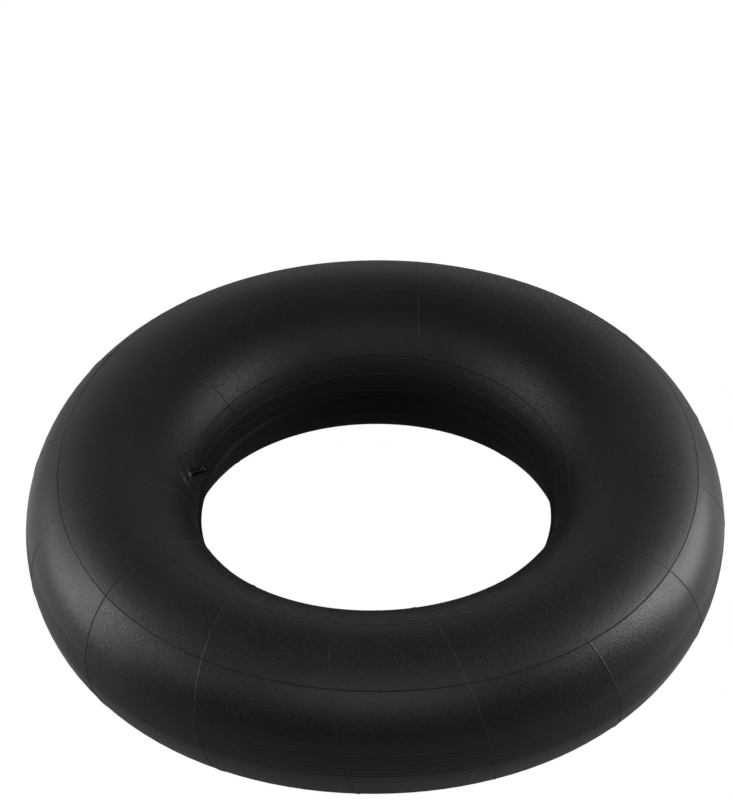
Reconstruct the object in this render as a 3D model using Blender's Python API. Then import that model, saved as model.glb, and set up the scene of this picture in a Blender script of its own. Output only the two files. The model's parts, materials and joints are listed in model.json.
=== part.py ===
"""Snow tube: an inflated ring of butyl rubber with a short rubber-covered screw valve.

Metres, +Z up. The ring's axis is Z and the ring lies on the floor at z = 0. The valve stands
on the inner wall at -X and points in over the hole and up. Its pieces hang from one empty,
whose origin is on the ring's surface and whose own +Z is the valve's axis, so every height
named below for the valve is a distance out from the rubber ring.
"""
import math

import bmesh
import bpy

MM = 0.001

# Ring
OUTER_DIAMETER = 1016.0 * MM
SECTION_DIAMETER = 251.0 * MM
RUBBER_WALL = 1.8 * MM
RING_FACETS = 64
SECTION_FACETS = 28

# Place of the valve: angle about the ring's axis, and rise of the valve's own axis
VALVE_ANGLE = math.radians(180.0)
VALVE_RISE = math.radians(25.7)

# Clearances
SEAT_GAP = 0.3 * MM
CUTTER_OVERRUN = 4.0 * MM

# Reinforcing patch under the valve
PATCH_RADIUS = 34.0 * MM
PATCH_THICKNESS = 1.5 * MM
AIR_HOLE_MARGIN = 0.9 * MM

# Rubber stem with its flared base
BASE_RADIUS = 18.0 * MM
BASE_EDGE = 1.5 * MM
BASE_FLOOR = 0.5 * MM
FLARE_HEIGHT = 6.6 * MM
FLARE_STEPS = 5
STEM_WALL = 1.6 * MM
STEM_HEIGHT = 13.9 * MM
STEM_CHAMFER = 0.6 * MM
STEM_FACETS = 32

# Brass insert, threaded outside for the cap and inside for the core
INSERT_WALL = 1.2 * MM
SEAT_STEP = 0.35 * MM
THREAD_PITCH = 0.794 * MM
THREAD_TURNS = 10.7
THREAD_CHAMFER = 0.5 * MM
ANCHOR_LIP = 1.15 * MM
ANCHOR_THICKNESS = 1.2 * MM

# Valve core: threaded plug
PLUG_SINK = 1.5 * MM
PLUG_LENGTH = 5.2 * MM
BRIDGE_LENGTH = 2.4 * MM
BRIDGE_THICKNESS = 2.4 * MM
CORE_FACETS = 24

# Valve core: barrel and its tapered gasket
BARREL_FLANGE = 0.5 * MM
BARREL_NECK_WALL = 0.6 * MM
BARREL_WALL = 0.5 * MM
BARREL_LENGTH = 7.0 * MM
BARREL_ROOF = 0.4 * MM
BARREL_LIP = 0.9 * MM
GASKET_LENGTH = 1.4 * MM
GASKET_WALL = 0.3 * MM

# Valve core: pin, cup and the cup's rubber seal
PIN_RADIUS = 0.5 * MM
PIN_SINK = 0.3 * MM
PIN_TIP_CHAMFER = 0.15 * MM
COLLAR_THICKNESS = 0.4 * MM
TAIL_RADIUS = 1.1 * MM
TAIL_THICKNESS = 0.4 * MM
CUP_WALL = 0.35 * MM
CUP_FLOOR = 0.4 * MM
CUP_RIM_DROP = 0.5 * MM
CUP_SEAL_THICKNESS = 1.1 * MM
PIN_FACETS = 16

# Valve core: return spring
SPRING_WIRE_RADIUS = 0.2 * MM
SPRING_TURNS = 5.5
SPRING_POINTS_PER_TURN = 10
SPRING_BEVEL_STEPS = 1

# Dust cap and the sealing disc in its crown
CAP_WALL = 1.1 * MM
CAP_FOOT_GAP = 0.4 * MM
CAP_CROWN = 1.5 * MM
CAP_EDGE = 0.8 * MM
CAP_MOUTH_CHAMFER = 0.4 * MM
CAP_FLUTES = 12
CAP_FLUTE_DEPTH = 0.35 * MM
CAP_FACETS = 48
CAP_DISC_THICKNESS = 0.6 * MM

# Ring sizes that follow
section_radius = SECTION_DIAMETER / 2
ring_radius = OUTER_DIAMETER / 2 - section_radius

# Heights of the seats, from the ring's surface outwards along the valve's axis
patch_foot = SEAT_GAP
patch_top = patch_foot + PATCH_THICKNESS
stem_foot = patch_top + SEAT_GAP
stem_top = stem_foot + STEM_HEIGHT
insert_foot = stem_foot + BASE_FLOOR + SEAT_GAP
anchor_top = insert_foot + ANCHOR_THICKNESS
mouth = stem_top + THREAD_TURNS * THREAD_PITCH

# Heights of the core's pieces, from the insert's mouth inwards
plug_top = mouth - PLUG_SINK
plug_foot = plug_top - PLUG_LENGTH
barrel_top = plug_foot - SEAT_GAP
flange_foot = barrel_top - BARREL_FLANGE
gasket_top = flange_foot - SEAT_GAP
gasket_foot = gasket_top - GASKET_LENGTH
shoulder = gasket_foot - SEAT_GAP
barrel_foot = shoulder - BARREL_LENGTH
chamber_roof = shoulder - BARREL_ROOF
chamber_floor = barrel_foot + BARREL_LIP
collar_top = chamber_roof - SEAT_GAP
collar_foot = collar_top - COLLAR_THICKNESS
seal_top = barrel_foot - SEAT_GAP
seal_foot = seal_top - CUP_SEAL_THICKNESS
cup_floor_top = seal_foot - SEAT_GAP
cup_foot = cup_floor_top - CUP_FLOOR
cup_rim = seal_top - CUP_RIM_DROP
tail_top = cup_foot - SEAT_GAP
tail_foot = tail_top - TAIL_THICKNESS

# Heights of the cap's pieces
cap_foot = stem_top + CAP_FOOT_GAP
disc_foot = mouth + SEAT_GAP
disc_top = disc_foot + CAP_DISC_THICKNESS
cap_ceiling = disc_top + SEAT_GAP
cap_top = cap_ceiling + CAP_CROWN

# Radii from the pin outwards, each from what it passes through or holds
pin_passage_radius = PIN_RADIUS + SEAT_GAP
barrel_neck_radius = pin_passage_radius + BARREL_NECK_WALL
gasket_bore_radius = barrel_neck_radius + SEAT_GAP
gasket_narrow_radius = gasket_bore_radius + GASKET_WALL
air_bore_radius = gasket_narrow_radius + SEAT_GAP
core_bore_radius = air_bore_radius + SEAT_STEP
thread_radius = core_bore_radius + INSERT_WALL
anchor_radius = thread_radius + ANCHOR_LIP
air_hole_radius = air_bore_radius + AIR_HOLE_MARGIN
insert_bore_in_rubber = thread_radius + SEAT_GAP
stem_radius = insert_bore_in_rubber + STEM_WALL
anchor_recess_radius = anchor_radius + SEAT_GAP
cap_bore_radius = thread_radius + SEAT_GAP
cap_radius = cap_bore_radius + CAP_WALL
cap_disc_radius = cap_bore_radius - SEAT_GAP

# Radii of the core's pieces, each inside the bore that holds it
plug_radius = core_bore_radius - SEAT_GAP
gasket_wide_radius = core_bore_radius - SEAT_GAP
barrel_radius = air_bore_radius - SEAT_GAP
chamber_radius = barrel_radius - BARREL_WALL
collar_radius = chamber_radius - SEAT_GAP
spring_radius = (pin_passage_radius + collar_radius) / 2
cup_radius = barrel_radius
cup_bore_radius = cup_radius - CUP_WALL
cup_seal_radius = cup_bore_radius - SEAT_GAP


def clear_scene():
    """Remove every object, so that the part starts from an empty scene."""
    for old in list(bpy.data.objects):
        bpy.data.objects.remove(old, do_unlink=True)


def finish(name, colour, roughness, metallic=0.0):
    """Make one Principled material from a colour, a roughness and a metallic value."""
    material = bpy.data.materials.new(name)
    material.use_nodes = True
    shader = material.node_tree.nodes["Principled BSDF"]
    shader.inputs["Base Color"].default_value = (*colour, 1.0)
    shader.inputs["Roughness"].default_value = roughness
    shader.inputs["Metallic"].default_value = metallic
    return material


def place(name, data, material=None, parent=None):
    """Put a mesh or curve in the scene under its name, and hang it from its parent."""
    piece = bpy.data.objects.new(name, data)
    bpy.context.collection.objects.link(piece)
    piece.parent = parent
    if material:
        data.materials.append(material)
    return piece


def mesh_from(bm, name, smooth_below=math.radians(35.0)):
    """Turn a bmesh into a mesh that is shaded smooth up to the given edge angle."""
    mesh = bpy.data.meshes.new(name)
    bm.to_mesh(mesh)
    bm.free()
    mesh.shade_smooth()
    mesh.set_sharp_from_angle(angle=smooth_below)
    return mesh


def as_cutter(piece):
    """Mark an object as a tool that only shapes others."""
    piece.hide_render = True
    piece.display_type = "WIRE"
    return piece


def shape_with(piece, tool, operation):
    """Cut or trim a piece with a closed tool."""
    cut = piece.modifiers.new(f"{operation.lower()} {tool.name}", "BOOLEAN")
    cut.operation = operation
    cut.object = tool


def add_ring_surface(bm, radius, facing_out=True):
    """Add one closed ring surface whose section is a polygon about a circle of this radius.

    The section has a flat side at the bottom, at the top and under the valve, and every flat
    side touches the circle, so surfaces of different radius stay parallel.
    """
    section_step = 2 * math.pi / SECTION_FACETS
    ring_step = 2 * math.pi / RING_FACETS
    corner_radius = radius / math.cos(section_step / 2)
    first_corner = -math.pi / 2 - section_step / 2
    rows = []
    for ring in range(RING_FACETS):
        turn = ring * ring_step
        row = []
        for corner in range(SECTION_FACETS):
            lean = first_corner + corner * section_step
            reach = ring_radius + corner_radius * math.cos(lean)
            height = section_radius + corner_radius * math.sin(lean)
            row.append(bm.verts.new((reach * math.cos(turn), reach * math.sin(turn), height)))
        rows.append(row)
    for ring in range(RING_FACETS):
        here, ahead = rows[ring], rows[(ring + 1) % RING_FACETS]
        for corner in range(SECTION_FACETS):
            above = (corner + 1) % SECTION_FACETS
            face = [here[corner], ahead[corner], ahead[above], here[above]]
            bm.faces.new(face if facing_out else face[::-1])


def ring_solid(name, offset):
    """Make a full ring that stands out from the rubber by an offset, as a tool."""
    bm = bmesh.new()
    add_ring_surface(bm, section_radius + offset)
    return as_cutter(place(name, mesh_from(bm, name)))


def turned(name, profile, facets, dips=None, dip_count=0):
    """Turn a closed profile of (radius, height) points about Z.

    A point with a dip has its ring pulled in by that much dip_count times around.
    """
    bm = bmesh.new()
    rings = []
    for index, (radius, height) in enumerate(profile):
        if radius == 0:
            rings.append([bm.verts.new((0, 0, height))])
            continue
        ring = []
        for step in range(facets):
            turn = 2 * math.pi * step / facets
            dip = dips[index] * (1 - math.cos(dip_count * turn)) / 2 if dips else 0
            reach = radius - dip
            ring.append(bm.verts.new((reach * math.cos(turn), reach * math.sin(turn), height)))
        rings.append(ring)
    for index, here in enumerate(rings):
        ahead = rings[(index + 1) % len(rings)]
        if len(here) == 1 and len(ahead) == 1:
            continue
        for step in range(facets):
            after = (step + 1) % facets
            corners = [here[step % len(here)], here[after % len(here)],
                       ahead[after % len(ahead)], ahead[step % len(ahead)]]
            bm.faces.new(list(dict.fromkeys(corners)))
    bmesh.ops.recalc_face_normals(bm, faces=bm.faces)
    return mesh_from(bm, name)


def tube(radius_in, radius_out, foot, top):
    """Give the profile of a plain sleeve."""
    return [(radius_in, foot), (radius_out, foot), (radius_out, top), (radius_in, top)]


def build_valve_frame():
    """Place the empty that carries the valve, with its +Z along the valve's axis."""
    frame = place("valve_frame", None)
    reach = ring_radius - section_radius * math.cos(VALVE_RISE)
    height = section_radius + section_radius * math.sin(VALVE_RISE)
    frame.location = (reach * math.cos(VALVE_ANGLE), reach * math.sin(VALVE_ANGLE), height)
    frame.rotation_euler = (0, math.pi / 2 - VALVE_RISE, VALVE_ANGLE - math.pi)
    return frame


def build_tube_shell(valve, rubber):
    """Make the hollow ring, opened to the valve by its air hole."""
    bm = bmesh.new()
    add_ring_surface(bm, section_radius)
    add_ring_surface(bm, section_radius - RUBBER_WALL, facing_out=False)
    shell = place("tube_shell", mesh_from(bm, "tube_shell"), rubber)
    hole = [(0, -RUBBER_WALL - CUTTER_OVERRUN), (air_hole_radius, -RUBBER_WALL - CUTTER_OVERRUN),
            (air_hole_radius, CUTTER_OVERRUN), (0, CUTTER_OVERRUN)]
    drill = as_cutter(place("air_hole", turned("air_hole", hole, CORE_FACETS), parent=valve))
    shape_with(shell, drill, "DIFFERENCE")


def build_patch(valve, rubber):
    """Make the round patch that follows the ring's surface under the valve."""
    blank = tube(air_hole_radius, PATCH_RADIUS, -CUTTER_OVERRUN, patch_top + CUTTER_OVERRUN)
    patch = place("valve_patch", turned("valve_patch", blank, STEM_FACETS), rubber, valve)
    shape_with(patch, ring_solid("patch_upper_limit", patch_top), "INTERSECT")
    shape_with(patch, ring_solid("patch_lower_limit", patch_foot), "DIFFERENCE")


def build_stem_rubber(valve, rubber):
    """Make the rubber stem, whose flared base follows the patch."""
    flare = []
    for step in range(FLARE_STEPS + 1):
        lean = math.pi / 2 * step / FLARE_STEPS
        flare.append((BASE_RADIUS - (BASE_RADIUS - stem_radius) * math.sin(lean),
                      stem_foot + FLARE_HEIGHT - (FLARE_HEIGHT - BASE_EDGE) * math.cos(lean)))
    profile = [
        (air_hole_radius, -CUTTER_OVERRUN),
        (BASE_RADIUS, -CUTTER_OVERRUN),
        *flare,
        (stem_radius, stem_top - STEM_CHAMFER),
        (stem_radius - STEM_CHAMFER, stem_top),
        (insert_bore_in_rubber, stem_top),
        (insert_bore_in_rubber, anchor_top + SEAT_GAP),
        (anchor_recess_radius, anchor_top + SEAT_GAP),
        (anchor_recess_radius, insert_foot - SEAT_GAP),
        (air_hole_radius, insert_foot - SEAT_GAP),
    ]
    stem = place("valve_stem_rubber", turned("valve_stem_rubber", profile, STEM_FACETS), rubber, valve)
    shape_with(stem, ring_solid("stem_lower_limit", stem_foot), "DIFFERENCE")


def build_insert(valve, brass):
    """Make the brass insert, with its anchor flange in the rubber and its gasket seat."""
    profile = [
        (air_bore_radius, insert_foot),
        (anchor_radius, insert_foot),
        (anchor_radius, anchor_top),
        (thread_radius, anchor_top),
        (thread_radius, mouth - THREAD_CHAMFER),
        (thread_radius - THREAD_CHAMFER, mouth),
        (core_bore_radius, mouth),
        (core_bore_radius, gasket_top),
        (air_bore_radius, gasket_foot),
    ]
    place("valve_insert", turned("valve_insert", profile, STEM_FACETS), brass, valve)


def build_core_plug(valve, brass):
    """Make the core's threaded plug, cut on two sides to a bridge for the core tool."""
    plug = place("core_plug", turned("core_plug", tube(pin_passage_radius, plug_radius,
                                                       plug_foot, plug_top), CORE_FACETS),
                 brass, valve)
    bm = bmesh.new()
    for side in (-1, 1):
        flat = bmesh.ops.create_cube(bm, size=1.0)["verts"]
        width = plug_radius
        bmesh.ops.scale(bm, verts=flat, vec=(width, 2 * plug_radius + CUTTER_OVERRUN,
                                             BRIDGE_LENGTH + CUTTER_OVERRUN))
        bmesh.ops.translate(bm, verts=flat, vec=(side * (BRIDGE_THICKNESS + width) / 2, 0,
                                                 plug_top + (CUTTER_OVERRUN - BRIDGE_LENGTH) / 2))
    flats = as_cutter(place("plug_flats", mesh_from(bm, "plug_flats"), parent=valve))
    shape_with(plug, flats, "DIFFERENCE")


def build_core_barrel(valve, brass):
    """Make the core's barrel: a flanged neck over the spring chamber."""
    profile = [
        (pin_passage_radius, barrel_foot),
        (barrel_radius, barrel_foot),
        (barrel_radius, shoulder),
        (barrel_neck_radius, shoulder),
        (barrel_neck_radius, flange_foot),
        (barrel_radius, flange_foot),
        (barrel_radius, barrel_top),
        (pin_passage_radius, barrel_top),
        (pin_passage_radius, chamber_roof),
        (chamber_radius, chamber_roof),
        (chamber_radius, chamber_floor),
        (pin_passage_radius, chamber_floor),
    ]
    place("core_barrel", turned("core_barrel", profile, CORE_FACETS), brass, valve)


def build_core_gasket(valve, packing):
    """Make the tapered ring that seals the barrel in the insert's seat."""
    profile = [
        (gasket_bore_radius, gasket_foot),
        (gasket_narrow_radius, gasket_foot),
        (gasket_wide_radius, gasket_top),
        (gasket_bore_radius, gasket_top),
    ]
    place("core_gasket", turned("core_gasket", profile, CORE_FACETS), packing, valve)


def build_core_pin(valve, brass):
    """Make the pin, with the spring's collar and the flared tail that holds the cup."""
    tip = mouth - PIN_SINK
    profile = [
        (0, tail_foot),
        (TAIL_RADIUS, tail_foot),
        (TAIL_RADIUS, tail_top),
        (PIN_RADIUS, tail_top),
        (PIN_RADIUS, collar_foot),
        (collar_radius, collar_foot),
        (collar_radius, collar_top),
        (PIN_RADIUS, collar_top),
        (PIN_RADIUS, tip - PIN_TIP_CHAMFER),
        (PIN_RADIUS - PIN_TIP_CHAMFER, tip),
        (0, tip),
    ]
    place("core_pin", turned("core_pin", profile, PIN_FACETS), brass, valve)


def build_core_cup(valve, brass):
    """Make the cup that carries the seal up against the barrel."""
    profile = [
        (pin_passage_radius, cup_foot),
        (cup_radius, cup_foot),
        (cup_radius, cup_rim),
        (cup_bore_radius, cup_rim),
        (cup_bore_radius, cup_floor_top),
        (pin_passage_radius, cup_floor_top),
    ]
    place("core_cup", turned("core_cup", profile, CORE_FACETS), brass, valve)


def build_core_cup_seal(valve, rubber):
    """Make the seal that lies in the cup."""
    ring = tube(pin_passage_radius, cup_seal_radius, seal_foot, seal_top)
    place("core_cup_seal", turned("core_cup_seal", ring, CORE_FACETS), rubber, valve)


def build_core_spring(valve, steel):
    """Wind the return spring between the chamber's floor and the pin's collar."""
    first = chamber_floor + SEAT_GAP + SPRING_WIRE_RADIUS
    last = collar_foot - SEAT_GAP - SPRING_WIRE_RADIUS
    steps = round(SPRING_TURNS * SPRING_POINTS_PER_TURN)
    wire = bpy.data.curves.new("core_spring", "CURVE")
    wire.dimensions = "3D"
    wire.bevel_depth = SPRING_WIRE_RADIUS
    wire.bevel_resolution = SPRING_BEVEL_STEPS
    wire.use_fill_caps = True
    spline = wire.splines.new("POLY")
    spline.points.add(steps)
    for step, point in enumerate(spline.points):
        share = step / steps
        turn = 2 * math.pi * SPRING_TURNS * share
        point.co = (spring_radius * math.cos(turn), spring_radius * math.sin(turn),
                    first + (last - first) * share, 1)
    place("core_spring", wire, steel, valve)


def build_cap_gasket(valve, rubber):
    """Make the sealing disc in the cap's crown."""
    profile = [(0, disc_foot), (cap_disc_radius, disc_foot), (cap_disc_radius, disc_top), (0, disc_top)]
    place("cap_gasket", turned("cap_gasket", profile, CORE_FACETS), rubber, valve)


def build_valve_cap(valve, plastic):
    """Make the screw cap with its fluted grip."""
    profile = [
        (cap_bore_radius + CAP_MOUTH_CHAMFER, cap_foot),
        (cap_radius, cap_foot),
        (cap_radius, cap_foot + CAP_EDGE),
        (cap_radius, cap_top - CAP_EDGE * 2),
        (cap_radius - CAP_EDGE / 2, cap_top - CAP_EDGE / 2),
        (cap_radius - CAP_EDGE * 3 / 2, cap_top),
        (0, cap_top),
        (0, cap_ceiling),
        (cap_bore_radius, cap_ceiling),
        (cap_bore_radius, cap_foot + CAP_MOUTH_CHAMFER),
    ]
    dips = [CAP_FLUTE_DEPTH if index in (2, 3) else 0 for index in range(len(profile))]
    cap = turned("valve_cap", profile, CAP_FACETS, dips, CAP_FLUTES)
    place("valve_cap", cap, plastic, valve)


def build_snow_tube():
    """Build every piece of the snow tube."""
    clear_scene()
    butyl = finish("butyl rubber", (0.018, 0.018, 0.019), 0.5)
    patch_rubber = finish("patch rubber", (0.014, 0.014, 0.015), 0.6)
    stem_rubber = finish("stem rubber", (0.010, 0.010, 0.011), 0.45)
    brass = finish("brass", (0.62, 0.47, 0.20), 0.3, 1.0)
    core_brass = finish("core brass", (0.66, 0.50, 0.22), 0.28, 1.0)
    spring_steel = finish("spring steel", (0.55, 0.55, 0.56), 0.3, 1.0)
    packing = finish("gasket packing", (0.50, 0.06, 0.04), 0.5)
    seal_rubber = finish("seal rubber", (0.02, 0.02, 0.02), 0.6)
    plastic = finish("cap plastic", (0.012, 0.012, 0.013), 0.4)
    valve = build_valve_frame()
    build_tube_shell(valve, butyl)
    build_patch(valve, patch_rubber)
    build_stem_rubber(valve, stem_rubber)
    build_insert(valve, brass)
    build_core_plug(valve, core_brass)
    build_core_barrel(valve, core_brass)
    build_core_gasket(valve, packing)
    build_core_pin(valve, core_brass)
    build_core_cup(valve, core_brass)
    build_core_cup_seal(valve, seal_rubber)
    build_core_spring(valve, spring_steel)
    build_cap_gasket(valve, seal_rubber)
    build_valve_cap(valve, plastic)


build_snow_tube()
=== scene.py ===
"""Looks of the snow tube: an inflated butyl ring with a rubber-covered screw valve.

Metres, +Z up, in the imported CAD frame. The ring lies on the floor at z = 0 round the Z axis, and
the valve stands on its inner wall at -X. Two words are used throughout: turn is an angle about
the ring's axis, counted from +X, and lean is an angle about the rubber's round section, zero at
the outer equator and a right angle at the crest. Valve pieces are modelled along their own axis
and then laid on the valve's, so their heights are distances out from the ring's surface.
"""
import json
import logging
import math
from dataclasses import asdict, dataclass, replace
from enum import Enum
from typing import Any, Callable, Sequence

import bmesh
import bpy
from bpy.types import Material, Mesh, Node, NodeSocket, NodeTree, Object
from mathutils import Matrix, Vector


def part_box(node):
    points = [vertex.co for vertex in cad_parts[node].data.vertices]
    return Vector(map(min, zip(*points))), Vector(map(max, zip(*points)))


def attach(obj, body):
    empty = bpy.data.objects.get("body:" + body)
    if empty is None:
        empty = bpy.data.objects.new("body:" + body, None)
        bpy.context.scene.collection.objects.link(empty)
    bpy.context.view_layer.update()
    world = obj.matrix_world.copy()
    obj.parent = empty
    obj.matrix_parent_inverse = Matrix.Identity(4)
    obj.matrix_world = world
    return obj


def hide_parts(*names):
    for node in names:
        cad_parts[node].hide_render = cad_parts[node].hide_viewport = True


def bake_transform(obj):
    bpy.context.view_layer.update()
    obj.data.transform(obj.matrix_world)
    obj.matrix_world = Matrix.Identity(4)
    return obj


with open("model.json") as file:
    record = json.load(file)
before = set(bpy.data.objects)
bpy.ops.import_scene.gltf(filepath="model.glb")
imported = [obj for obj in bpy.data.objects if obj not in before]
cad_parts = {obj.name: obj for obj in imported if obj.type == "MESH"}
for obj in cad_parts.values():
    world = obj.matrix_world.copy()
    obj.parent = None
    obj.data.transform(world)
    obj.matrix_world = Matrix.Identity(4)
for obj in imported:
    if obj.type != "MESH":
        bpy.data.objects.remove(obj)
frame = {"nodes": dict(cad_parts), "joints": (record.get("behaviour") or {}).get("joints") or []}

MM = 0.001
FULL_TURN = 2 * math.pi
WELD_GAP = 0.002 * MM
SHARP_ABOVE = math.radians(38.0)
CREASE = "crease"
SLEEK = "sleek"
HOLE_SHADE = "hole_shade"
SOCKET_KINDS = {int: "NodeSocketInt", float: "NodeSocketFloat", Vector: "NodeSocketVector",
                Material: "NodeSocketMaterial"}

Colour = tuple[float, float, float]
Range = tuple[float, float]
Profile = Sequence[tuple[float, float]]
Spot = tuple[float, float, float]
Lay = Callable[[float, float, float], Spot]

log = logging.getLogger("snow_tube")


class Body(Enum):
    """The CAD bodies that new pieces ride on."""

    TUBE = "tube"
    PLUNGER = "plunger"
    CAP = "cap"


class Slot(Enum):
    """The record's material slots that new pieces take."""

    BUTYL = "butyl"
    PATCH = "patch_rubber"
    STEM = "stem_rubber"
    BRASS = "brass"
    CORE_BRASS = "core_brass"
    SPRING = "spring_steel"
    CAP = "cap_plastic"


class Section(Enum):
    """The section that a helix sweeps: a thread's ridge or a spring's wire."""

    THREAD = "thread"
    WIRE = "wire"


@dataclass(frozen=True)
class Pattern:
    """A noise: its patches in a metre, the number of finer layers and how strong they are."""

    scale: float
    detail: float = 3.0
    rough: float = 0.5


@dataclass(frozen=True)
class Signal:
    """One output socket of a board's node tree, which takes part in Python arithmetic."""

    board: "Board"
    socket: NodeSocket

    def __add__(self, other: "Signal | float") -> "Signal":
        """Add."""
        return self.board.math("ADD", self, other)

    def __radd__(self, other: float) -> "Signal":
        """Add to a number."""
        return self.board.math("ADD", other, self)

    def __sub__(self, other: "Signal | float") -> "Signal":
        """Subtract."""
        return self.board.math("SUBTRACT", self, other)

    def __rsub__(self, other: float) -> "Signal":
        """Subtract from a number."""
        return self.board.math("SUBTRACT", other, self)

    def __mul__(self, other: "Signal | float") -> "Signal":
        """Multiply."""
        return self.board.math("MULTIPLY", self, other)

    def __rmul__(self, other: float) -> "Signal":
        """Multiply a number."""
        return self.board.math("MULTIPLY", other, self)

    def __truediv__(self, other: "Signal | float") -> "Signal":
        """Divide."""
        return self.board.math("DIVIDE", self, other)

    def __rtruediv__(self, other: float) -> "Signal":
        """Divide a number."""
        return self.board.math("DIVIDE", other, self)


class Board:
    """Adds nodes to one node tree, of a material, the world or Geometry Nodes."""

    def __init__(self, tree: NodeTree) -> None:
        """Take the tree that the nodes go into."""
        self.tree = tree

    def feed(self, socket: NodeSocket, value: Any) -> None:
        """Link a Signal to a socket, or set the socket to a plain value.

        Args:
            socket: the input socket.
            value: a Signal, number, colour, vector or name.
        """
        if isinstance(value, Signal):
            self.tree.links.new(value.socket, socket)
        else:
            socket.default_value = value

    @staticmethod
    def find(sockets: Any, key: str | int) -> NodeSocket:
        """Find a socket by its identifier, or else by its name or its place."""
        named = [socket for socket in sockets if socket.identifier == key]
        return named[0] if named else sockets[key]

    def node(self, kind: str, inputs: dict[str | int, Any] | None = None, **settings: Any) -> Node:
        """Add a node, set its settings first and then its sockets.

        Args:
            kind: the node's type.
            inputs: a plain value or a Signal for each socket.
            settings: the node's own properties.

        Returns:
            The node.
        """
        made = self.tree.nodes.new(kind)
        for name, value in settings.items():
            setattr(made, name, value)
        for key, value in (inputs or {}).items():
            self.feed(self.find(made.inputs, key), value)
        return made

    def get(self, kind: str, inputs: dict[str | int, Any] | None = None,
            output: str | int = 0, **settings: Any) -> Signal:
        """Add a node and take one of its outputs."""
        return Signal(self, self.find(self.node(kind, inputs, **settings).outputs, output))

    def math(self, operation: str, *values: Signal | float) -> Signal:
        """Add a Math node."""
        return self.get("ShaderNodeMath", dict(enumerate(values)), operation=operation)

    def vector(self, operation: str, *values: Any, output: str = "Value") -> Signal:
        """Add a Vector Math node and take its number, or else the output that is named."""
        return self.get("ShaderNodeVectorMath", dict(enumerate(values)), output, operation=operation)

    def join(self, *parts: Signal | float) -> Signal:
        """Combine numbers into a vector."""
        return self.get("ShaderNodeCombineXYZ", dict(enumerate(parts)))

    def split(self, vector: Signal) -> list[Signal]:
        """Separate a vector into its three numbers."""
        return [Signal(self, part) for part in self.node("ShaderNodeSeparateXYZ", {0: vector}).outputs]

    def smooth_step(self, value: Signal, start: float, end: float,
                    low: Signal | float = 0.0, high: Signal | float = 1.0) -> Signal:
        """Go smoothly from low to high as the value goes from start to end."""
        return self.get("ShaderNodeMapRange", dict(enumerate((value, start, end, low, high))),
                        interpolation_type="SMOOTHSTEP")

    def blend(self, share: Signal | float, first: Signal | Colour, second: Signal | Colour) -> Signal:
        """Mix two colours, with the share of the second one."""
        ends = [colour if isinstance(colour, Signal) else rgba(colour) for colour in (first, second)]
        return self.get("ShaderNodeMix", {"Factor_Float": share, "A_Color": ends[0], "B_Color": ends[1]},
                        "Result_Color", data_type="RGBA")

    def noise(self, where: Signal, pattern: Pattern) -> Signal:
        """Add a noise texture, which stays around one half."""
        return self.get("ShaderNodeTexNoise", {"Vector": where, "Scale": pattern.scale,
                                               "Detail": pattern.detail, "Roughness": pattern.rough})

    def bump(self, height: Signal, depth: float, strength: float = 0.5,
             under: Signal | None = None) -> Signal:
        """Add a bump, on top of the one under it where there is one."""
        inputs = {"Strength": strength, "Distance": depth, "Height": height}
        return self.get("ShaderNodeBump", inputs | ({"Normal": under} if under else {}))


def grey(level: float) -> Colour:
    """Give a neutral colour."""
    return level, level, level


def rgba(colour: Colour) -> tuple[float, float, float, float]:
    """Give a colour its alpha of one."""
    return (*colour, 1.0)


def degrees(start: float, end: float) -> Range:
    """Give a range of angles in radians."""
    return math.radians(start), math.radians(end)


class Coat(Board):
    """The board of a new material with a Principled shader."""

    def __init__(self, name: str) -> None:
        """Start the material.

        Args:
            name: the material's name.
        """
        self.material = bpy.data.materials.new(name)
        self.material.use_nodes = True
        super().__init__(self.material.node_tree)
        self.where = self.get("ShaderNodeTexCoord", output="Object")

    def close(self, values: dict[str, Any]) -> Material:
        """Set or link the shader's sockets.

        Args:
            values: a plain value or a Signal for each socket.

        Returns:
            The finished material.
        """
        shader = self.tree.nodes["Principled BSDF"]
        for name, value in values.items():
            self.feed(shader.inputs[name], value)
        return self.material


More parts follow.
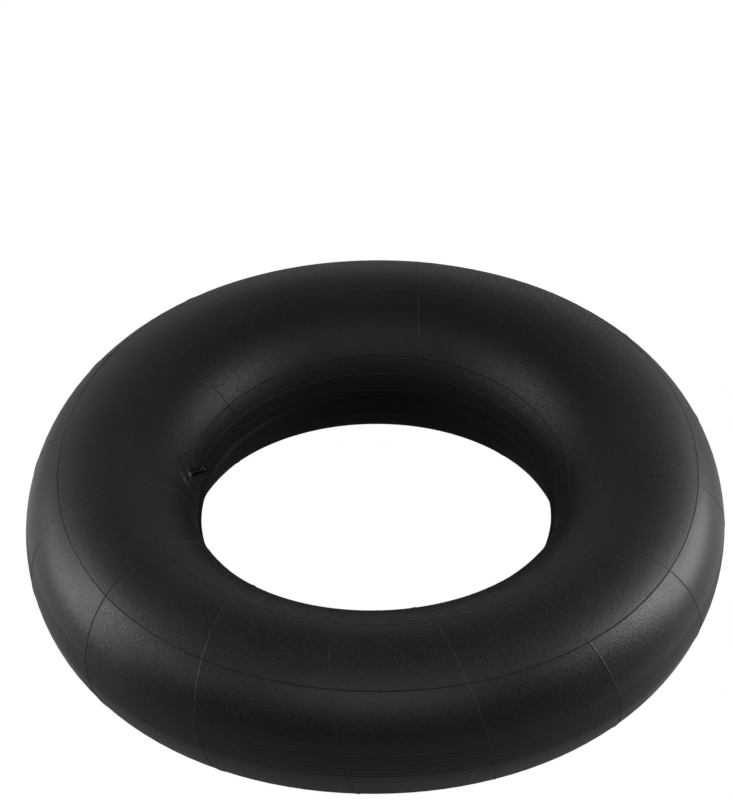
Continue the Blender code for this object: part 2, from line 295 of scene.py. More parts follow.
@dataclass(frozen=True)
class ButylFinish:
    """Moulded black butyl: satin, finely grained, with a dry bloom in faint clouds.

    The marks stored on the skin change it: creases are rough and darkened as painted shade, sleek
    rubber is smoother, and the hole's inner wall is darkened as painted shade, without bloom.
    """

    name: str = "butyl rubber"
    black: Colour = (0.0080, 0.0080, 0.0083)
    bloom: Colour = (0.0148, 0.0148, 0.0151)
    # Painted shade: the colour that the deepest creases are darkened to.
    dirt: Colour = (0.0020, 0.0020, 0.0021)
    # Painted shade: the hole's inner wall is darkened towards this colour, below the plain black.
    deep: Colour = (0.0045, 0.0045, 0.0047)
    cloud: Pattern = Pattern(5.0, 5.0, 0.6)
    mottle: Pattern = Pattern(330.0, 2.0, 0.6)
    grain: Pattern = Pattern(900.0, 2.0)
    bloom_mottle: float = 0.55
    bloom_range: Range = (0.38, 0.64)
    dirt_range: Range = (0.5, 1.0)
    gloss: float = 0.3
    roughness: float = 0.50
    roughness_cloud: float = 0.15
    roughness_spread: float = 0.42
    crease_roughness: float = 0.6
    sleek_smoothness: float = 0.12
    mottle_depth: float = 0.72 * MM
    grain_depth: float = 0.3 * MM

    def make(self) -> Material:
        """Build the material.

        Returns:
            The material.
        """
        coat = Coat(self.name)
        cloud, mottle, grain = [coat.noise(coat.where, pattern)
                                for pattern in (self.cloud, self.mottle, self.grain)]
        crease, sleek, hole_shade = [coat.get("ShaderNodeAttribute", output="Fac", attribute_name=mark)
                                  for mark in (CREASE, SLEEK, HOLE_SHADE)]
        dusty = cloud * (1.0 - self.bloom_mottle) + mottle * self.bloom_mottle
        bloomed = coat.blend(coat.smooth_step(dusty, *self.bloom_range), self.black, self.bloom)
        # The hole's inner wall is painted darker, as shade, in place of its bloom.
        rubber = coat.blend(hole_shade, bloomed, self.deep)
        speckle = mottle * (1.0 - self.roughness_cloud) + cloud * self.roughness_cloud - 0.5
        rough = self.roughness + speckle * self.roughness_spread + crease * self.crease_roughness
        return coat.close({
            # Creases past one half are darkened as painted shade, besides being rougher.
            "Base Color": coat.blend(coat.smooth_step(crease, *self.dirt_range), rubber, self.dirt),
            "Roughness": rough - sleek * self.sleek_smoothness,
            "Specular IOR Level": self.gloss,
            "Normal": coat.bump(grain, self.grain_depth, under=coat.bump(mottle, self.mottle_depth)),
        })


@dataclass(frozen=True)
class MouldedFinish:
    """A plain moulded rubber or plastic: one colour with a fine grain and handling marks."""

    name: str
    colour: Colour
    worn: Colour
    roughness: float
    grain: Pattern = Pattern(1500.0)
    grain_depth: float = 0.05 * MM
    patches: Pattern = Pattern(140.0, 4.0, 0.6)
    patch_roughness: float = 0.2
    worn_range: Range = (0.42, 0.7)
    worn_roughness: float = 0.0
    gloss: float = 0.3

    def worn_share(self, coat: Coat, patches: Signal) -> Signal:
        """Wear the strongest of the patches."""
        return coat.smooth_step(patches, *self.worn_range)

    def make(self) -> Material:
        """Build the material.

        Returns:
            The material.
        """
        coat = Coat(self.name)
        patches = coat.noise(coat.where, self.patches)
        worn = self.worn_share(coat, patches)
        rough = self.roughness + worn * self.worn_roughness
        return coat.close({
            "Base Color": coat.blend(worn, self.colour, self.worn),
            "Roughness": rough + (patches - 0.5) * self.patch_roughness,
            "Specular IOR Level": self.gloss,
            "Normal": coat.bump(coat.noise(coat.where, self.grain), self.grain_depth),
        })


@dataclass(frozen=True)
class StemFinish(MouldedFinish):
    """The stem's moulded rubber: a wiped, near-black shaft that grows out of a dusty foot.

    Its worn range is the distance from the valve's axis over which the dust sets in.
    """

    name: str = "stem rubber"
    colour: Colour = (0.0040, 0.0040, 0.0042)
    worn: Colour = (0.0085, 0.0085, 0.0087)
    roughness: float = 0.32
    worn_range: Range = (6.4 * MM, 10.5 * MM)
    worn_roughness: float = 0.12

    def worn_share(self, coat: Coat, patches: Signal) -> Signal:
        """Dust the foot, by the distance from the valve's axis.

        Args:
            coat: the material's board.
            patches: not used; the rubber's patches, which the dust doesn't follow.

        Returns:
            The share of dust.
        """
        place = coat.vector("SUBTRACT", coat.where, VALVE.origin, output="Vector")
        along = coat.vector("DOT_PRODUCT", place, VALVE.axis)
        away = coat.vector("LENGTH", place)
        radius = coat.math("SQRT", coat.math("MAXIMUM", away * away - along * along, 0.0))
        return coat.smooth_step(radius, *self.worn_range)


@dataclass(frozen=True)
class TurnedMetalFinish:
    """Turned metal: fine tool rings round the valve's axis, with slight tarnish."""

    name: str
    colour: Colour
    tarnish: Colour
    roughness: float
    ring_pitch: float = 0.09 * MM
    ring_depth: float = 0.006 * MM
    ring_strength: float = 0.6
    stains: Pattern = Pattern(420.0, 4.0, 0.6)
    stain_range: Range = (0.4, 0.72)
    stain_roughness: float = 0.18

    def make(self) -> Material:
        """Build the material.

        Returns:
            The material.
        """
        coat = Coat(self.name)
        along = coat.vector("DOT_PRODUCT", coat.where, VALVE.axis)
        ripple = coat.math("SINE", along * (FULL_TURN / self.ring_pitch))
        dull = coat.smooth_step(coat.noise(coat.where, self.stains), *self.stain_range)
        return coat.close({
            "Base Color": coat.blend(dull, self.colour, self.tarnish),
            "Metallic": 1.0,
            "Roughness": self.roughness + dull * self.stain_roughness,
            "Normal": coat.bump(ripple, self.ring_depth, self.ring_strength),
        })


@dataclass(frozen=True)
class PackingFinish:
    """Slippery packing of the core's gasket: waxy, with faint compression marks."""

    name: str = "gasket packing"
    colour: Colour = (0.50, 0.06, 0.04)
    pale: Colour = (0.62, 0.12, 0.08)
    roughness: float = 0.42
    roughness_spread: float = 0.2
    marks: Pattern = Pattern(900.0)
    mark_range: Range = (0.4, 0.7)

    def make(self) -> Material:
        """Build the material.

        Returns:
            The material.
        """
        coat = Coat(self.name)
        marks = coat.noise(coat.where, self.marks)
        return coat.close({
            "Base Color": coat.blend(coat.smooth_step(marks, *self.mark_range), self.colour, self.pale),
            "Roughness": self.roughness + (marks - 0.5) * self.roughness_spread,
        })


def link_piece(name: str, mesh: Mesh, material: Material | None = None) -> Object:
    """Put a mesh in the scene under its own name.

    Args:
        name: the piece's name.
        mesh: its mesh.
        material: its material, if it isn't in the mesh already.

    Returns:
        The object.
    """
    mesh.name = name
    piece = bpy.data.objects.new(name, mesh)
    bpy.context.scene.collection.objects.link(piece)
    if material:
        mesh.materials.clear()
        mesh.materials.append(material)
    return piece


class ShapeTree(Board):
    """A Geometry Nodes tree with named inputs, which ends in Realize Instances and Set Material."""

    def __init__(self, name: str, material: Material, **sizes: Any) -> None:
        """Start the tree.

        Args:
            name: the tree's name.
            material: the material that it sets.
            sizes: its other inputs, each labelled in capitals after its name here.
        """
        super().__init__(bpy.data.node_groups.new(name, "GeometryNodeTree"))
        self.sizes = {size.replace("_", " ").title(): value for size, value in sizes.items()}
        self.sizes["Material"] = material
        face = self.tree.interface
        face.new_socket("Geometry", in_out="INPUT", socket_type="NodeSocketGeometry")
        for label, value in self.sizes.items():
            face.new_socket(label, in_out="INPUT", socket_type=SOCKET_KINDS[type(value)])
        face.new_socket("Geometry", in_out="OUTPUT", socket_type="NodeSocketGeometry")
        self.entry = self.node("NodeGroupInput")

    def __getitem__(self, label: str) -> Signal:
        """Read one of the named inputs."""
        return Signal(self, self.entry.outputs[label])

    def run(self, name: str, base: Mesh, geometry: Signal) -> Mesh:
        """Close the tree, run it on a base mesh and keep the result as a plain mesh.

        Args:
            name: the name of the piece that it makes.
            base: the mesh that the tree starts from.
            geometry: what the tree has made of it.

        Returns:
            The result, with the tree's material.
        """
        real = self.get("GeometryNodeRealizeInstances", {0: geometry})
        dressed = self.get("GeometryNodeSetMaterial", {"Geometry": real, "Material": self["Material"]})
        self.node("NodeGroupOutput", {0: dressed})
        carrier = link_piece(f"{name}_carrier", base)
        modifier = carrier.modifiers.new("shape", "NODES")
        modifier.node_group = self.tree
        for item in self.tree.interface.items_tree:
            if item.name in self.sizes:
                modifier[item.identifier] = self.sizes[item.name]
        bpy.context.view_layer.update()
        evaluated = carrier.evaluated_get(bpy.context.evaluated_depsgraph_get())
        result = bpy.data.meshes.new_from_object(evaluated)
        bpy.data.objects.remove(carrier)
        return result


@dataclass(frozen=True)
class ValveSeat:
    """Where the valve stands: the place and axis of the cap's hinge in the record."""

    origin: Vector
    axis: Vector
    ring_radius: float
    section_radius: float
    rounds: int = 6

    @property
    def placement(self) -> Matrix:
        """Turn and move a piece that is made along +Z onto the valve's axis.

        Returns:
            The transform.
        """
        side = Vector((0, 1, 0))
        turned = Matrix((side.cross(self.axis), side, self.axis)).transposed().to_4x4()
        return Matrix.Translation(self.origin) @ turned

    def ring_height(self, x: float, y: float, offset: float) -> float:
        """Find the ring's surface on a line along the valve's axis, in a few rounds.

        Args:
            x: the line's place across the valve.
            y: the line's place along the ring.
            offset: a distance out from the surface.

        Returns:
            The height along the valve's axis, at that distance out.
        """
        height = offset
        for _ in range(self.rounds):
            spot = self.placement @ Vector((x, y, height))
            reach = math.hypot(spot.x, spot.y) - self.ring_radius
            height -= math.hypot(reach, spot.z - self.section_radius) - self.section_radius - offset
        return height


def read_valve_seat() -> ValveSeat:
    """Read the valve's place from the cap's hinge and the ring's sizes from its CAD box.

    Returns:
        The valve's seat.
    """
    low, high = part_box("tube_shell")
    section_radius = (high.z - low.z) / 2
    hinge = next(joint for joint in frame["joints"] if joint["name"] == "cap_turn")
    return ValveSeat(Vector(hinge["pos_m"]), Vector(hinge["axis"]).normalized(),
                     (high.x - low.x) / 2 - section_radius, section_radius)


VALVE = read_valve_seat()


def settle(piece: Object, body: Body, node: str) -> None:
    """Let a piece ride on its body and hide the CAD node it stands for.

    Args:
        piece: the finished piece.
        body: the body that carries it.
        node: the CAD node that it stands for.
    """
    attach(piece, body.value)
    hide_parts(node)
    log.info("%s: %d faces on %s", piece.name, len(piece.data.polygons), body.value)


def dress(node: str, material: Material) -> None:
    """Give a CAD node that stays in view its material.

    Args:
        node: the node's name.
        material: its material.
    """
    shown = frame["nodes"][node]
    shown.data.materials.clear()
    shown.data.materials.append(material)
    log.info("%s: CAD node with %s", node, material.name)


@dataclass(frozen=True)
class MouldLine:
    """One raised line round the ring.

    Attributes:
        lean: its place on the section, in degrees.
        height_share: its height as a share of the ribs' height.
        width_share: its width as a share of the ribs' width.
        dirt: its painted crease shade; a half roughens it, one blackens it too.
    """

    lean: float
    height_share: float = 1.0
    width_share: float = 1.0
    dirt: float = 0.5


@dataclass(frozen=True)
class Swell:
    """One gentle wave of the ring's reach, round the ring.

    Attributes:
        count: the number of its crests.
        height: its height.
        turn: the angle whose count-th part is where its first crest stands, in degrees.
    """

    count: int
    height: float
    turn: float


@dataclass
class InflatedRing:
    """The inflated ring: a round section with moulded vent ribs across and along it.

    The ribs across run on as one slanted set, each meeting the next after one turn round the
    section. The creep and the twist are how far the rubber has shifted in its mould lines. Each
    range of angles is one of leans, counted alike above and below, over which something starts,
    ends or fades.
    """

    ring_radius: float = VALVE.ring_radius
    section_radius: float = VALVE.section_radius
    finish: ButylFinish = ButylFinish()
    rib_count: int = 16
    rib_phase: float = math.radians(20.4)
    rib_phase_lean: float = math.radians(50.0)
    rib_height: float = 0.7 * MM
    rib_half_width: float = 0.75 * MM
    rib_loops: tuple[float, ...] = (-1.8, -1.0, -0.5, 0.0, 0.5, 1.0, 1.8)
    rib_dirt: float = 0.5
    twist: float = math.radians(2.5)
    twist_phase: float = math.radians(205.8)
    creep: float = math.radians(1.5)
    creep_phase: float = math.radians(350.8)
    row_spacing: float = math.radians(3.2)
    columns_between_ribs: int = 8
    seam_gap: float = 0.02 * MM
    bare_radius: float = 36.0 * MM
    bare_edge: Range = (0.85, 1.15)
    wear: Pattern = Pattern(7.0, 2.0)
    wear_range: Range = (0.4, 0.6)
    faintest_rib: float = 0.25
    faintest_line: float = 0.7
    fresh_rib: float = 0.9
    fresh_fade: Range = degrees(50.0, 62.0)
    rib_fade: Range = degrees(156.0, 161.0)
    sleek_start: Range = degrees(6.0, 12.0)
    sleek_edge: Range = degrees(50.5, 52.5)
    sleek_fade: Range = degrees(51.5, 66.0)
    sleek_beyond: float = 0.5
    hole_shade_start: Range = degrees(92.0, 125.0)
    # Each line: lean, height share, width share and its painted crease shade.
    upper_lines: tuple[MouldLine, ...] = (
        MouldLine(1.4, 0.3, 1.0, 0.9), MouldLine(5.1, 0.3, 1.0, 0.9), MouldLine(8.2, 0.3, 1.3, 1.0),
        MouldLine(51.5, 1.0, 1.0, 0.8), MouldLine(101.0, 0.6, 0.8), MouldLine(149.5, 0.8),
        MouldLine(163.0, 0.6, 0.8), MouldLine(172.0, 0.4, 0.6), MouldLine(176.0, 0.4, 0.6))
    outer_swells: tuple[Swell, ...] = (
        Swell(2, 1.6 * MM, 119.0), Swell(3, 0.9 * MM, -83.0), Swell(4, 3.3 * MM, -165.0))
    inner_swells: tuple[Swell, ...] = (
        Swell(2, 1.0 * MM, -5.3), Swell(3, 1.4 * MM, -35.7), Swell(4, 0.6 * MM, -94.0))

    def lines(self) -> list[MouldLine]:
        """All lines round the ring: the upper ones and their mirror images below."""
        lower = [replace(line, lean=-line.lean) for line in self.upper_lines]
        return sorted([*self.upper_lines, *lower], key=lambda line: line.lean)

    def flat_sheet(self) -> Mesh:
        """Lay out the skin flat, turn along X and lean along Y, in radians.

        Columns and rows stand close together where a rib or a line rises.

        Returns:
            The sheet.
        """
        half = self.rib_half_width / self.section_radius
        across = self.rib_half_width / self.ring_radius
        pitch = FULL_TURN / self.rib_count
        guard = across * self.rib_loops[-1]
        span = pitch - 2 * guard
        columns = []
        for rib in range(self.rib_count):
            start = rib * pitch
            columns += [start + across * loop for loop in self.rib_loops]
            columns += [start + guard + span * step / self.columns_between_ribs
                        for step in range(1, self.columns_between_ribs)]
        columns.append(columns[0] + FULL_TURN)
        creases = [math.radians(line.lean) + half * line.width_share * loop
                   for line in self.lines() for loop in self.rib_loops]
        rows = [-math.pi]
        for stop in [*creases, math.pi]:
            gap = stop - rows[-1]
            steps = max(1, math.ceil(gap / self.row_spacing))
            rows += [rows[-1] + gap * step / steps for step in range(1, steps + 1)]
        spots = [(turn, lean, 0.0) for lean in rows for turn in columns]
        wide = len(columns)
        faces = [(row * wide + column, row * wide + column + 1,
                  (row + 1) * wide + column + 1, (row + 1) * wide + column)
                 for row in range(len(rows) - 1) for column in range(wide - 1)]
        sheet = bpy.data.meshes.new("flat_skin")
        sheet.from_pydata(spots, [], faces)
        return sheet

    def relief(self, shape: ShapeTree, turn: Signal, lean: Signal,
               wear: Signal) -> tuple[Signal, Signal]:
        """Raise the ribs and the lines, as far as they aren't worn away.

        Args:
            shape: the skin's tree.
            turn: the turn of a point on the flat sheet.
            lean: its lean there.
            wear: how well the relief is kept at the point.

        Returns:
            The relief's height, as a share of the ribs', and its crease mark with painted shade.
        """
        away = shape.math("ABSOLUTE", lean)
        pitch = shape["Rib Pitch"]
        half_width = shape["Rib Half Width"]
        kept = shape.math("MAXIMUM", shape.smooth_step(wear, *self.wear_range, self.faintest_rib, 1.0),
                          shape.smooth_step(away, *self.fresh_fade, self.fresh_rib, 0.0))
        rib_angle = half_width / shape["Ring Radius"]
        off_rib = shape.math("ABSOLUTE", shape.math("WRAP", turn, pitch * 0.5, pitch * -0.5))
        ends = shape.smooth_step(away, *self.rib_fade, 1.0, 0.0)
        rise = shape.smooth_step(off_rib / rib_angle, 0.0, 1.0, 1.0, 0.0) * ends * kept
        # The crease mark roughens the rubber and, past one half, darkens it as painted shade.
        dirt = rise * self.rib_dirt
        line_kept = shape.smooth_step(wear, *self.wear_range, self.faintest_line, 1.0)
        line_angle = half_width / shape["Section Radius"]
        for line in self.lines():
            off_line = shape.math("ABSOLUTE", lean - math.radians(line.lean))
            near = off_line / (line_angle * line.width_share)
            hump = shape.smooth_step(near, 0.0, 1.0, 1.0, 0.0) * line_kept
            dirt = shape.math("MAXIMUM", dirt, hump * line.dirt)
            rise = shape.math("MAXIMUM", rise, hump * line.height_share)
        return rise, dirt

    def wrap(self, sheet: Mesh) -> Mesh:
        """Wrap the flat sheet into the ribbed ring and store the marks that its finish reads.

        Args:
            sheet: the flat sheet.

        Returns:
            The ring's skin.
        """
        sizes = {size: getattr(self, size) for size in (
            "ring_radius", "section_radius", "rib_height", "rib_half_width", "rib_phase",
            "rib_phase_lean", "twist", "twist_phase", "creep", "creep_phase", "bare_radius", "seam_gap")}
        shape = ShapeTree("wrap_ring", self.finish.make(), **sizes,
                          rib_pitch=FULL_TURN / self.rib_count, valve_foot=VALVE.origin)
        ring = shape["Ring Radius"]
        section = shape["Section Radius"]
        turn, lean, _ = shape.split(shape.get("GeometryNodeInputPosition"))
        narrowing = shape.math("SQRT", (ring - section) / (ring + section))

        def slant(angle: Signal) -> Signal:
            """How far a rib has moved round the ring at a lean."""
            swung = shape.math("ARCTANGENT", narrowing * shape.math("TANGENT", angle * 0.5))
            return swung * shape["Rib Pitch"] / math.pi

        straight = turn + shape["Rib Phase"] + slant(shape["Rib Phase Lean"]) - slant(lean)
        around = straight + shape["Creep"] * shape.math("COSINE", straight - shape["Creep Phase"])
        tilt = lean + shape["Twist"] * shape.math("COSINE", around - shape["Twist Phase"])

        def swell(waves: Sequence[Swell]) -> Signal:
            """How far the waves move one side of the ring."""
            crests = [around * wave.count - math.radians(wave.turn) for wave in waves]
            return sum(shape.math("COSINE", crest) * wave.height for crest, wave in zip(crests, waves))

        outer = swell(self.outer_swells)
        inner = swell(self.inner_swells)
        middle = ring + (outer + inner) * 0.5
        half_width = section + (outer - inner) * 0.5

        def skin_point(raised: Signal | float) -> Signal:
            """Place a point of the skin, raised off the bare section and never under the floor."""
            reach = middle + (half_width + raised) * shape.math("COSINE", tilt)
            return shape.join(
                reach * shape.math("COSINE", around), reach * shape.math("SINE", around),
                shape.math("MAXIMUM", section + (section + raised) * shape.math("SINE", tilt), 0.0))

        bare = skin_point(0.0)
        rise, dirt = self.relief(shape, turn, lean, shape.noise(bare, self.wear))
        to_valve = shape.vector("DISTANCE", bare, shape["Valve Foot"])
        clear = shape.smooth_step(to_valve / shape["Bare Radius"], *self.bare_edge)
        away = shape.math("ABSOLUTE", lean)
        beyond = shape.smooth_step(away, *self.sleek_fade, self.sleek_beyond, 0.0)
        edge = shape.smooth_step(away, *self.sleek_edge, 1.0, beyond)
        # The last mark paints shade on the hole's inner wall, from the crest inwards.
        marks = {CREASE: dirt * clear, SLEEK: shape.smooth_step(away, *self.sleek_start) * edge,
                 HOLE_SHADE: shape.smooth_step(away, *self.hole_shade_start)}
        marked = shape["Geometry"]
        for mark, value in marks.items():
            marked = shape.get("GeometryNodeStoreNamedAttribute",
                               {"Geometry": marked, "Name": mark, "Value": value},
                               data_type="FLOAT", domain="POINT")
        place = skin_point(shape["Rib Height"] * rise * clear)
        wrapped = shape.get("GeometryNodeSetPosition", {"Geometry": marked, "Position": place})
        closed = shape.get("GeometryNodeMergeByDistance",
                           {"Geometry": wrapped, "Distance": shape["Seam Gap"]})
        return shape.run("tube_skin", sheet, closed)

    def build(self) -> None:
        """Make the skin, in place of the CAD shell."""
        mesh = self.wrap(self.flat_sheet())
        mesh.shade_smooth()
        settle(link_piece("tube_skin", mesh), Body.TUBE, "tube_shell")


def on_circle(radius: float, turn: float, height: float) -> Spot:
    """Place a point at a radius, an angle about +Z and a height."""
    return radius * math.cos(turn), radius * math.sin(turn), height


def lathe(profile: Profile, steps: int, lay: Lay = on_circle) -> Mesh:
    """Turn a closed profile about +Z, with its points in order up the outside.

    Args:
        profile: points of radius and height; a radius of zero is a pole.
        steps: the points round the axis.
        lay: places a point from its radius, its angle and its height.

    Returns:
        The mesh, still along +Z.
    """
    spots: list[Spot] = []
    rings: list[list[int]] = []
    for radius, height in profile:
        count = steps if radius > 0 else 1
        rings.append(list(range(len(spots), len(spots) + count)))
        spots += [lay(radius, FULL_TURN * step / steps, height) for step in range(count)]
    faces = []
    for here, ahead in zip(rings, rings[1:] + rings[:1]):
        if len(here) == 1 and len(ahead) == 1:
            continue
        for step in range(steps):
            after = (step + 1) % steps
            quad = (here[step % len(here)], here[after % len(here)],
                    ahead[after % len(ahead)], ahead[step % len(ahead)])
            faces.append(tuple(dict.fromkeys(quad)))
    mesh = bpy.data.meshes.new("lathed")
    mesh.from_pydata(spots, [], faces)
    return mesh


def arc(centre: tuple[float, float], radius: float, start: float, end: float,
        steps: int = 5) -> list[tuple[float, float]]:
    """Give the points of a profile's rounded edge.

    Args:
        centre: the arc's centre, as radius and height.
        radius: the arc's own radius.
        start: the first angle in degrees, from outwards towards up.
        end: the last angle in degrees.
        steps: the number of spans.

    Returns:
        The points.
    """
    angles = [math.radians(start + (end - start) * step / steps) for step in range(steps + 1)]
    return [(centre[0] + radius * math.cos(angle), centre[1] + radius * math.sin(angle))
            for angle in angles]


def smooth_share(value: float, start: float, end: float) -> float:
    """Go smoothly from none to all as a value goes from start to end."""
    share = min(1.0, max(0.0, (value - start) / (end - start)))
    return share * share * (3.0 - 2.0 * share)


def finish_mesh(mesh: Mesh) -> Mesh:
    """Close a valve piece's seams, point its faces outwards, shade it and lay it on the valve.

    Args:
        mesh: the mesh, made along +Z.

    Returns:
        The same mesh, in its place.
    """
    work = bmesh.new()
    work.from_mesh(mesh)
    bmesh.ops.remove_doubles(work, verts=work.verts, dist=WELD_GAP)
    bmesh.ops.recalc_face_normals(work, faces=work.faces)
    work.to_mesh(mesh)
    work.free()
    mesh.transform(VALVE.placement)
    mesh.shade_smooth()
    mesh.set_sharp_from_angle(angle=SHARP_ABOVE)
    return mesh


@dataclass(frozen=True)
class Helix:
    """The sizes of a wound thread or spring.

    Attributes:
        radius: the radius that the section stands on.
        pitch: its rise in one turn.
        turns: the number of turns.
        foot: the height where it starts.
        depth: how far the section stands out, negative for inwards.
        half_width: half of the section's width at its foot.
        run_out: the turns over which each end tapers.
        points: the points in one turn.
        tip: the section's size at the very ends, as a share.
        root: where a thread's foot is, as a share of its depth; a negative one is sunk in.
        crest: a thread's width at its crest, as a share of its width at the foot.
        sides: the sides of a wire.
    """

    radius: float
    pitch: float
    turns: float
    foot: float
    depth: float
    half_width: float
    run_out: float = 0.5
    points: int = 32
    tip: float = 0.04
    root: float = -0.3
    crest: float = 0.2
    sides: int = 10

    def wind(self, name: str, base: Mesh, section: Section, material: Material) -> Object:
        """Sweep a section along the helix, join it to a base mesh and lay both on the valve.

        Args:
            name: the name of the piece that it makes.
            base: the mesh that carries the helix.
            section: the form of the wound section.
            material: the material of both.

        Returns:
            The piece: the base with its helix.
        """
        shape = ShapeTree(f"wind_{section.value}", material, **asdict(self))
        turns = shape["Turns"]
        half = shape["Half Width"]
        helix = shape.get("GeometryNodeCurveSpiral", {
            "Resolution": shape["Points"], "Rotations": turns, "Start Radius": shape["Radius"],
            "End Radius": shape["Radius"], "Height": turns * shape["Pitch"]}, "Curve")
        raised = shape.get("GeometryNodeTransform", {
            "Geometry": helix, "Translation": shape.join(0.0, 0.0, shape["Foot"])})
        level = shape.get("GeometryNodeSetCurveNormal", {"Curve": raised}, mode="Z_UP")
        along = shape.get("GeometryNodeSplineParameter", output="Factor")
        to_end = shape.math("MINIMUM", along, 1.0 - along) * turns / shape["Run Out"]
        taper = shape.math("MAXIMUM", shape.math("MINIMUM", to_end, 1.0), shape["Tip"])
        path = shape.get("GeometryNodeSetCurveRadius", {"Curve": level, "Radius": taper})
        if section is Section.WIRE:
            outline = shape.get("GeometryNodeCurvePrimitiveCircle",
                                {"Resolution": shape["Sides"], "Radius": half}, "Curve")
        else:
            depth = shape["Depth"]
            root = depth * shape["Root"]
            crest = half * shape["Crest"]
            edges = ((root, half * -1.0), (depth, crest * -1.0), (depth, crest), (root, half))
            spots = {f"Point {place}": shape.join(*edge) for place, edge in enumerate(edges, 1)}
            outline = shape.get("GeometryNodeCurvePrimitiveQuadrilateral", spots, "Curve", mode="POINTS")
        swept = shape.get("GeometryNodeCurveToMesh",
                          {"Curve": path, "Profile Curve": outline, "Fill Caps": True})
        joined = shape.node("GeometryNodeJoinGeometry")
        for part in (swept, shape["Geometry"]):
            shape.feed(joined.inputs[0], part)
        mesh = shape.run(name, base, Signal(shape, joined.outputs[0]))
        return link_piece(name, finish_mesh(mesh))


@dataclass
class ValveBase:
    """The rubber patch on the ring and the rubber stem that grows out of it."""

    # The patch's own near-black rubber, darkened to match the painted shade of the inner wall round it.
    patch_finish: ButylFinish = ButylFinish("patch rubber", grey(0.0045), grey(0.0055))
    hole_radius: float = 3.2 * MM
    inner_loop: float = 10.8 * MM
    patch_radius: float = 34.0 * MM
    patch_top: float = 1.8 * MM
    patch_flat: float = 22.0 * MM
    patch_sink: float = 0.25 * MM
    patch_rim: float = 0.35 * MM
    bead_radii: tuple[float, ...] = (24.5 * MM, 27.0 * MM, 29.5 * MM)
    bead_loops: tuple[float, ...] = (-1.0, -0.5, 0.0, 0.5, 1.0)
    bead_height: float = 0.22 * MM
    bead_half_width: float = 0.55 * MM
    outer_loops: tuple[float, ...] = (31.5 * MM, 33.0 * MM, 33.8 * MM)
    stem_finish: StemFinish = StemFinish()
    base_radius: float = 18.0 * MM
    base_edge: float = 0.6 * MM
    base_loop: float = 0.36 * MM
    stem_foot: float = 1.7 * MM
    stem_radius: float = 5.75 * MM
    stem_top: float = 16.0 * MM
    stem_round: float = 0.7 * MM
    flare_top: float = 8.3 * MM
    flare_steps: int = 12
    bore_radius: float = 4.0 * MM
    bore_drop: float = 0.15 * MM
    parting_height: float = 0.12 * MM
    parting_half_angle: float = math.radians(3.5)
    steps: int = 120

    def patch_offset(self, radius: float) -> float:
        """Give the patch's height over the ring: flat, then feathered, with moulded beads.

        Args:
            radius: the distance from the valve's axis.

        Returns:
            The height.
        """
        fall = smooth_share(radius, self.patch_flat, self.patch_radius)
        height = self.patch_top + (self.patch_rim - self.patch_top) * fall
        for bead in self.bead_radii:
            off = abs(radius - bead) / self.bead_half_width
            height += self.bead_height * (1.0 - smooth_share(off, 0.0, 1.0))
        return height

    def build_patch(self) -> None:
        """Make the patch, which follows the ring's surface."""
        radii = [self.hole_radius, self.inner_loop, self.base_radius, self.patch_flat]
        for bead in self.bead_radii:
            radii += [bead + self.bead_half_width * loop for loop in self.bead_loops]
        radii += self.outer_loops
        under = [(radius, -self.patch_sink) for radius in [*radii, self.patch_radius]]
        top = [(radius, self.patch_offset(radius)) for radius in reversed(radii)]

        def follow(radius: float, turn: float, height: float) -> Spot:
            """Lift a point to its height over the ring."""
            x, y, offset = on_circle(radius, turn, height)
            return x, y, VALVE.ring_height(x, y, offset)

        mesh = finish_mesh(lathe([*under, (self.patch_radius, 0.0), *top], self.steps, follow))
        piece = link_piece("valve_patch_rubber", mesh, self.patch_finish.make())
        settle(piece, Body.TUBE, "valve_patch")

    def stem_point(self, radius: float, turn: float, height: float) -> Spot:
        """Lift a point of the stem with the saddle under it and raise the parting lines.

        Args:
            radius: its distance from the valve's axis.
            turn: its angle about that axis.
            height: its height on a flat base.

        Returns:
            The point, still along +Z.
        """
        off = abs(math.remainder(turn - math.pi / 2, math.pi)) / self.parting_half_angle
        proud = self.parting_height * (1.0 - smooth_share(off, 0.0, 1.0))
        reach = radius + proud * smooth_share(radius, self.bore_radius, self.stem_radius)
        x, y, level = on_circle(reach, turn, height)
        share = 1.0 - smooth_share(height, self.stem_foot, self.flare_top)
        return x, y, level + share * VALVE.ring_height(x, y, 0.0)

    def build_stem(self) -> None:
        """Make the stem, whose flared foot follows the patch."""
        edge = self.stem_foot + self.base_edge
        flare = []
        for step in range(self.flare_steps + 1):
            lean = math.pi / 2 * step / self.flare_steps
            flare.append((self.base_radius - (self.base_radius - self.stem_radius) * math.sin(lean),
                          self.flare_top - (self.flare_top - edge) * math.cos(lean)))
        shoulder = arc((self.stem_radius - self.stem_round, self.stem_top - self.stem_round),
                       self.stem_round, 0.0, 90.0)
        profile = [(self.bore_radius, self.stem_foot), (self.base_radius, self.stem_foot),
                   (self.base_radius, self.stem_foot + self.base_loop), *flare,
                   *shoulder, (self.bore_radius, self.stem_top - self.bore_drop)]
        mesh = finish_mesh(lathe(profile, self.steps, self.stem_point))
        piece = link_piece("valve_stem", mesh, self.stem_finish.make())
        settle(piece, Body.TUBE, "valve_stem_rubber")

    def build(self) -> None:
        """Make the patch and the stem."""
        self.build_patch()
        self.build_stem()


